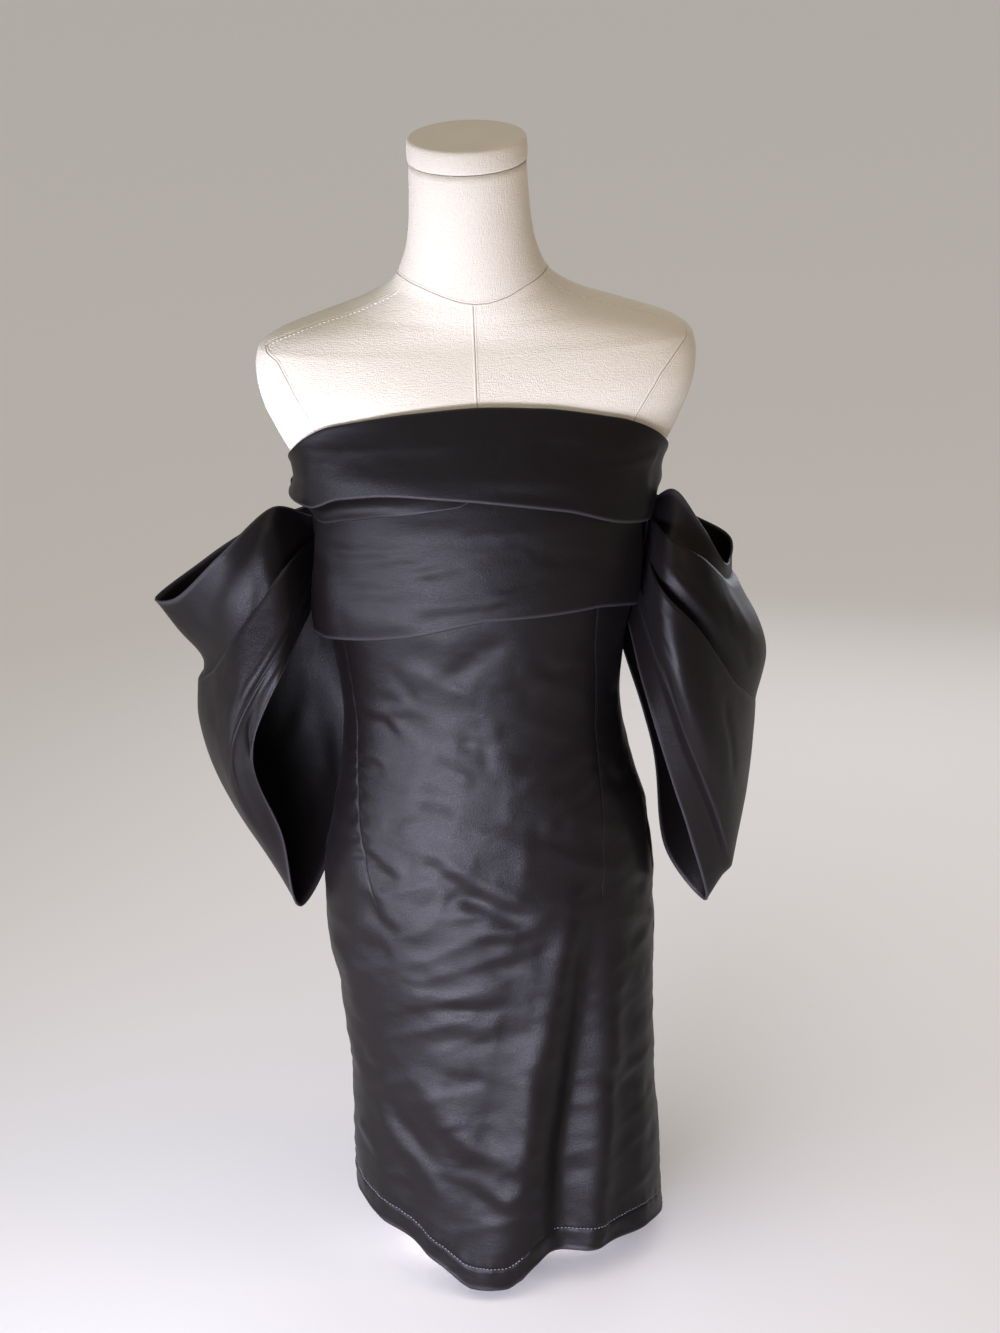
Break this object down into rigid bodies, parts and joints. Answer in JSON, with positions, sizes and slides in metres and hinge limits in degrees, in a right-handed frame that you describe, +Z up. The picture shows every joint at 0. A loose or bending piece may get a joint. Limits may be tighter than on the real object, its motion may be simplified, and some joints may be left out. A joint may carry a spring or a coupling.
{
  "type": "strapless mini dress with draped sleeves on a limbless dress form",
  "caption": "Fitted satin mini dress with folded bust bands, darts and draped off-the-shoulder sleeves, worn by a linen-covered dress form with no limbs.",
  "frame": {"origin": "middle of the dress form's flat foot, on the surface it stands on", "axes": "+Z up along the form, the dress's front faces -Y, +X is the viewer's right"},
  "size_m": [0.5527, 0.2621, 1.0605],
  "materials": {
    "satin": "satin",
    "linen": "matte"
  },
  "bodies": {
    "root": {"front_panel": "satin", "back_panel_left": "satin", "back_panel_right": "satin", "upper_band": "satin", "lower_band": "satin", "sleeve_left": "satin", "sleeve_right": "satin", "form_torso": "linen", "form_neck_cap": "linen"}
  },
  "joints": []
}
